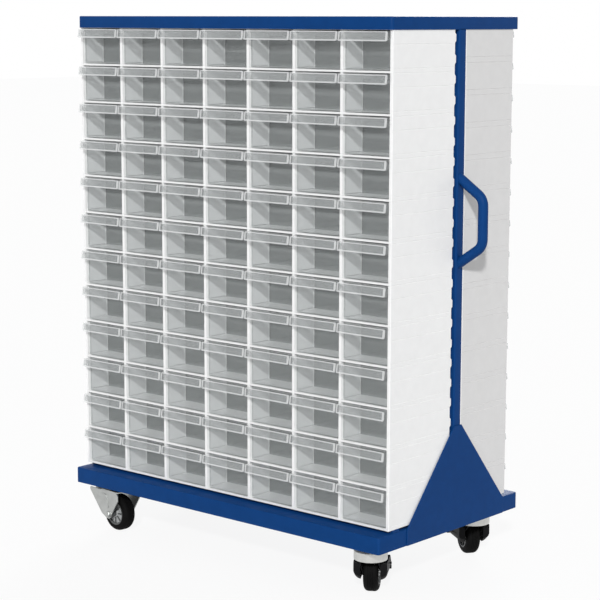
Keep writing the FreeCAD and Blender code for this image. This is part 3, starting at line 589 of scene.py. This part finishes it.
def softened(points, radius):
    """A closed outline whose corners are rounded as far as their sides allow."""
    made, count = [], len(points)
    for i in range(count):
        corner = Vector(points[i])
        back, ahead = Vector(points[i - 1]) - corner, Vector(points[(i + 1) % count]) - corner
        half = back.angle(ahead) / 2
        reach = min(radius / math.tan(half), SIDE_SHARE * back.length, SIDE_SHARE * ahead.length)
        start, end = corner + back.normalized() * reach, corner + ahead.normalized() * reach
        for k in range(CORNER_STEPS + 1):
            t = k / CORNER_STEPS
            made.append(tuple(start * (1 - t) ** 2 + corner * 2 * t * (1 - t) + end * t ** 2))
    return made


def on_axle(turned, trail):
    """A shape that was turned about Z, laid along the wheel's axle."""
    made = Shape()
    made.stamp(turned, Matrix.Translation((trail, 0, AXLE_Z)) @ ON_SIDE)
    return made


def fork_shape(trail, wide):
    """Pressed fork: a cup round the kingpin and two legs down to the axle."""
    made = Shape()
    inside = WIDE_INSIDE if wide else NARROW_INSIDE
    outside = inside + LEG_THICK
    made.turned([(KINGPIN_HOLE, CUP_CEILING), (KINGPIN_HOLE, CUP_TOP), (CUP_RADIUS - 4, CUP_TOP),
                 (CUP_RADIUS - 1.2, CUP_TOP - 1), (CUP_RADIUS, CUP_CEILING)], CUP_AROUND, closed=True)
    # the skirt runs round the front from leg to leg, and is open towards the axle
    skirt = [(CUP_RADIUS, CUP_CEILING), (CUP_RADIUS, CUP_BOTTOM + 0.6), (CUP_RADIUS - 0.6, CUP_BOTTOM),
             (CUP_RADIUS - CUP_WALL, CUP_BOTTOM), (CUP_RADIUS - CUP_WALL, CUP_CEILING)]
    first = math.asin((inside + 0.2) / CUP_RADIUS)
    rings = []
    for k in range(SKIRT_STEPS + 1):
        a = first + (2 * math.pi - 2 * first) * k / SKIRT_STEPS
        rings.append([(r * math.cos(a), r * math.sin(a), z) for r, z in skirt])
    made.loft(rings)
    if wide:
        front, rear, knee, heel, leg_paint = 41.0, 79.0, CUP_BOTTOM + 15, 2.2, 0
        # the hood starts at the cup's rim, so that nothing crosses the kingpin
        meet, edge = CUP_RADIUS - 0.2, math.asin(outside / CUP_RADIUS) - 0.02
        turns = [edge * (1 - 2 * k / HOOD_STEPS) for k in range(HOOD_STEPS + 1)]
        rim = [(meet * math.cos(a), meet * math.sin(a)) for a in turns]
        slab = softened([(0, -outside), (rear, -outside), (rear, outside), (0, outside)], LEG_CORNER)
        rear_corners = slab[CORNER_STEPS + 1:3 * (CORNER_STEPS + 1)]
        made.prism(rim + rear_corners, CUP_CEILING, CUP_TOP, 2)
    else:
        # the narrow forks' legs take the second finish, black, as painted shade in the gaps beside the wheel
        front, rear, knee, heel, leg_paint = 32.5, 32.5, CUP_BOTTOM, 1.0, 1
    leg = softened([(-front, CUP_CEILING + 0.2), (rear, CUP_CEILING + 0.2), (rear, CUP_BOTTOM),
                    (trail + EYE, AXLE_Z), (trail + EYE / 2, AXLE_Z - EYE * 0.9),
                    (trail - EYE / 2, AXLE_Z - EYE * 0.9), (trail - EYE * heel, AXLE_Z), (-front, knee)],
                   LEG_CORNER)
    rib = softened([(-4, CUP_TOP - 12), (30, CUP_TOP - 12), (trail + 4, AXLE_Z + 20),
                    (trail - 8, AXLE_Z + 14)], LEG_CORNER)
    for way in (-1, 1):
        made.prism(leg, *sorted((way * inside, way * outside)), 1, leg_paint)
        if wide:
            made.prism(rib, *sorted((way * outside, way * (outside + 1.4))), 1)
    return made


def bolt_shape(trail, wide):
    """Axle bolt. Where the legs stand wide it has washers, hexagon ends and collars to the wheel."""
    outside = (WIDE_INSIDE if wide else NARROW_INSIDE) + LEG_THICK
    # behind a brake's lobes the bolt ends just outside the legs, because the lobes cover it
    end = outside + (1.5 if wide else 0.15)
    turned = Shape()
    turned.turned([(AXLE_RADIUS, -end), (AXLE_RADIUS, end)], BOLT_AROUND)
    washer = (9.5, outside, end, BOLT_AROUND, 0)
    hexagon = (8.2, end, outside + 5, 6, 0)
    collar = (9, WHEEL_WIDTH / 2, WIDE_INSIDE, BOLT_AROUND, 1)
    if wide:
        for way in (-1, 1):
            for radius, near, far, segments, paint in (washer, hexagon, collar):
                turned.turned([(radius, y) for y in sorted((way * near, way * far))], segments, paint)
    return on_axle(turned, trail)


def tyre_shape(trail):
    """A tyre with rounded shoulders and four grooves in its tread."""
    half = WHEEL_WIDTH / 2
    flat = half - TREAD_ROUND
    shoulder = [(WHEEL_RADIUS - TREAD_ROUND + TREAD_ROUND * math.cos(a), -flat - TREAD_ROUND * math.sin(a))
                for a in (math.pi / 2 * k / TREAD_STEPS for k in range(TREAD_STEPS, -1, -1))]
    tread = list(shoulder)
    for at in TREAD_GROOVES:
        tread += [(WHEEL_RADIUS - 0.02, at - 0.8), (WHEEL_RADIUS - TREAD_DEPTH, at - 0.5),
                  (WHEEL_RADIUS - TREAD_DEPTH, at + 0.5), (WHEEL_RADIUS - 0.02, at + 0.8)]
    tread += [(r, -y) for r, y in reversed(shoulder)]
    tread += [(TYRE_INSIDE + 0.05, half), (TYRE_INSIDE + 0.05, -half)]
    turned = Shape()
    turned.turned(tread, TYRE_AROUND, closed=True)
    return on_axle(turned, trail)


def hub_shape(trail):
    """A hub whose web and boss are painted pale on one side as a painted highlight, with ribs from the boss
    to the rim.
    """
    half = WHEEL_WIDTH / 2 - 0.5
    side = [(TYRE_INSIDE, half - 0.6), (TYRE_INSIDE - 0.6, half), (30.5, half), (28.8, half - 1.5),
            (28, half - 5), (12.5, half - 5), (11.2, half - 0.6), (10.6, half), (HUB_BORE, half)]
    # one side's web and boss are painted pale as a painted highlight
    paints = [0] * 14 + [1] * 4 + [0]           # the four are one side's web and boss
    turned = Shape()
    turned.turned([(r, -y) for r, y in reversed(side)] + side, HUB_AROUND, paints, closed=True)
    made = on_axle(turned, trail)
    rib = Shape()
    for way in (-1, 1):
        y0, y1 = sorted((way * (half - 5.2), way * (half - 1.6)))
        rib.box((11.0, y0, -1.2), (29.0, y1, 1.2))
    for k in range(HUB_RIBS):
        spin = Matrix.Rotation(2 * math.pi * k / HUB_RIBS, 4, "Y")
        made.stamp(rib, Matrix.Translation((trail, 0, AXLE_Z)) @ spin)
    return made


def brake_shape(trail):
    """Pedal: a rounded lobe outside each leg, and a toe bar behind the wheel."""
    made = Shape()
    inner, outer, low, top = NARROW_INSIDE + LEG_THICK + 0.3, 42.0, AXLE_Z - 12, CUP_BOTTOM - 7
    front, toe, round_off = trail - 46, trail + 61, 20.0
    bar_low, bar_deep = AXLE_Z - 9, 8
    for way in (-1, 1):
        rings = []
        for k in range(LOBE_STEPS + 1):
            y = inner + (outer - inner) * k / LOBE_STEPS
            rise = 0.0
            if k:
                rise = round_off - math.sqrt(max(0.0, round_off ** 2 - (y - outer + round_off) ** 2))
            outline = softened([(front, top), (trail + 24, top), (toe, AXLE_Z),
                                (toe, max(bar_low, low + rise)), (trail + 12, low + rise),
                                (front + 12, low + rise), (front, low + 12 + rise * 0.5)], 4)
            rings.append([(x, way * y, z) for x, z in outline])
        made.loft(rings)
    bar = softened([(toe - bar_deep, -outer), (toe, -outer), (toe, outer), (toe - bar_deep, outer)], 3)
    made.prism(bar, bar_low, AXLE_Z, 2)
    return made


def castors():
    """Dresses the four castors. The left-hand ones are wide and open, the right-hand ones have brakes."""
    joints = {joint["name"]: joint for joint in frame["record"]["behaviour"]["joints"]}
    for corner in ("front_left", "front_right", "back_left", "back_right"):
        centre = Vector(joints[f"swivel_{corner}"]["pos_m"]) / MM
        wheel = Vector(joints[f"wheel_{corner}"]["pos_m"]) / MM
        trail = math.hypot(wheel.x - centre.x, wheel.y - centre.y)
        spot = (Matrix.Translation((centre.x, centre.y, 0))
                @ Matrix.Rotation(math.atan2(wheel.y - centre.y, wheel.x - centre.x), 4, "Z"))
        wide = corner.endswith("left")
        swivel, turning = f"castor_swivel_{corner}", f"castor_wheel_{corner}"
        fork_metal = ZINC if wide else PLATED
        made = [("fork", swivel, fork_shape(trail, wide), "zinc_steel", [fork_metal, BLACK], 0.6),
                ("axle", swivel, bolt_shape(trail, wide), "zinc_steel", [ZINC, GREY], 0.4),
                ("hub", turning, hub_shape(trail), "grey_plastic", [GREY, HUB_HIGHLIGHT], 0.3),
                ("tyre", turning, tyre_shape(trail), "black_rubber", [RUBBER], 0.0)]
        if not wide:
            pedal = f"brake_pedal_{corner}"
            made.append(("brake", pedal, brake_shape(trail), "black_plastic", [BLACK], 0.8))
        for part, body, shape, slot, materials, bevel in made:
            placed = Shape()
            placed.stamp(shape, spot)
            placed.piece(f"castor_{part}_{corner}_made", body, f"castor_{part}_{corner}", slot, materials,
                         bevel=bevel, smooth=CASTOR_SMOOTH)


castors()


# ---------------------------------------------------------------- drawers

WALL, FLOOR = 2.0, 2.0                          # a drawer's thicknesses
CORNER_RADII = (9.0, 5.0, 5.0, 9.0)             # the front corners are the rounder ones
LEAN, PLATE_CORNER = 3.0, 3.5                   # the label plate's lean and corners
WINDOW_MARGINS = (4.0, 5.5, 3.6, 2.4)           # left of, right of, under and over the label window
LID, CHEEK, DIVIDER = 1.8, 1.6, 1.6             # thicknesses of the pull's top and cheeks, and the divider
DRAWERS = {"front": (247.0, 70.0, 17.5, 23.0),  # length, where the divider stands, the pull's reach
           "back": (192.0, 62.0, 13.0, 18.0)}   # and the pull's height
DRAWER_PAINTS = [CLEAR, FROSTED, DIVIDER_SHADE, WINDOW, SIDE]
BODY_PAINT, RIM_PAINT, DIVIDER_SHADE_PAINT, WINDOW_PAINT, SIDE_PAINT = range(len(DRAWER_PAINTS))


def tray(width, length, height, divider_at, reach, pull_height, pull_width):
    """One drawer with its front on y = 0 and its floor on z = 0, its label holder and loose divider."""
    made = Shape()

    def ring(z, inset):
        return [(x, y, z) for x, y in rounded(width, 0, length, CORNER_RADII, inset)]

    made.loft([ring(0, 2.2), ring(0.7, 0.7), ring(2.2, 0), ring(height - 0.4, 0), ring(height, 0.5),
               ring(height, WALL - 0.3), ring(height - 0.6, WALL), ring(FLOOR + 2.5, WALL),
               ring(FLOOR, WALL + 2.5)],
              [BODY_PAINT] * 4 + [RIM_PAINT] * 3 + [BODY_PAINT] * 3)
    # the sides and the floor are mostly opaque: clear ones pass Cycles' limit on see-through layers,
    # and the cells turn dark
    for k, face in enumerate(made.faces):
        a, b, c = (made.points[i] for i in face[:3])
        facing = (b - a).cross(c - b).normalized()
        if made.paints[k] == BODY_PAINT and (abs(facing.x) > 0.8 or abs(facing.z) > 0.8):
            made.paints[k] = SIDE_PAINT
    # label holder: a leaning plate with a raised rim, a top and two cheeks; the plate's window is tinted grey
    # as painted shade
    back, out, low = -(RECESS + PULL_BACK_GAP), -(RECESS + reach), height - pull_height

    def plate(inset, depth, margins=(0, 0, 0, 0)):
        left, right, down, up = margins
        points = []
        for x, v in rounded(pull_width, 0, pull_height, (PLATE_CORNER,) * 4):
            sx = max(-pull_width / 2 + inset + left, min(pull_width / 2 - inset - right, x))
            sv = max(inset + down, min(pull_height - inset - up, v))
            points.append((sx, out + LEAN * sv / pull_height + depth, low + sv))
        return points

    made.loft([plate(0, 1.9), plate(0, 0.6), plate(0.6, 0), plate(0, 0, WINDOW_MARGINS),
               plate(0, 1.2, WINDOW_MARGINS)],
              [WINDOW_PAINT] + [RIM_PAINT] * 4 + [WINDOW_PAINT])
    top_front, under_lid = out + LEAN + 1.6, height - LID
    made.box((-pull_width / 2 + 0.3, top_front, under_lid), (pull_width / 2 - 0.3, back, height), BODY_PAINT)
    made.box((-width / 2 + 4, back, under_lid), (width / 2 - 4, 0.5, height - 0.2), BODY_PAINT)
    for side in (-1, 1):
        x0, x1 = sorted((side * pull_width / 2, side * (pull_width / 2 - CHEEK)))
        made.prism([(out + 2.0, low + 0.5), (back, low + 5), (back, under_lid), (top_front, under_lid)],
                   x0, x1, 0, BODY_PAINT)
    # divider and the ribs that hold it; the divider is tinted dark grey as painted shade on the drawer's rear
    # part seen through it
    half = width / 2 - WALL - 0.25
    made.box((-half, divider_at, FLOOR + 0.2), (half, divider_at + DIVIDER, height - 14), DIVIDER_SHADE_PAINT)
    for side in (-1, 1):
        for y in (divider_at - 1.7, divider_at + 1.9):
            x0, x1 = sorted((side * (width / 2 - WALL - 1.4), side * (width / 2 - WALL + 0.2)))
            made.box((x0, y, FLOOR), (x1, y + 1.4, height - 9), RIM_PAINT)
    return made


def fill_drawers():
    """Puts clear mouldings in the place of the CAD drawers. One node may hold several rows of them."""
    low, high = node_box("front_shelves")
    pitch_x = column_pitch(low[0], high[0])
    width = pitch_x - PARTITION - 2 * SLIDE_GAP
    pull_width = pitch_x - 2 * PULL_SIDE_GAP
    trays = {}
    for side, (length, divider_at, reach, pull_height) in DRAWERS.items():
        height = PITCH[side] - SHELF - REST_GAP - LIFT_GAP
        trays[side] = tray(width, length, height, divider_at, reach, pull_height, pull_width)
    for body in frame["bodies"]:
        if "drawer" not in body:
            continue
        node = body.removesuffix("_body")
        side = node.split("_")[0]
        _, _, reach, _ = DRAWERS[side]
        box_low, box_high = node_box(node)
        if side == "front":
            y, turn = box_low[1] + RECESS + reach, Matrix.Identity(4)
        else:
            y, turn = box_high[1] - RECESS - reach, Matrix.Rotation(math.pi, 4, "Z")
        made = Shape()
        for row in range(round((box_high[2] - box_low[2]) / PITCH[side])):
            z = box_low[2] + PITCH[side] * row
            for column in range(round((box_high[0] - box_low[0]) / pitch_x)):
                x = box_low[0] - PULL_SIDE_GAP + pitch_x * (column + 0.5)
                made.stamp(trays[side], Matrix.Translation((x, y, z)) @ turn)
        made.piece(f"{node}_mouldings", body, node, "clear_plastic", DRAWER_PAINTS)


fill_drawers()
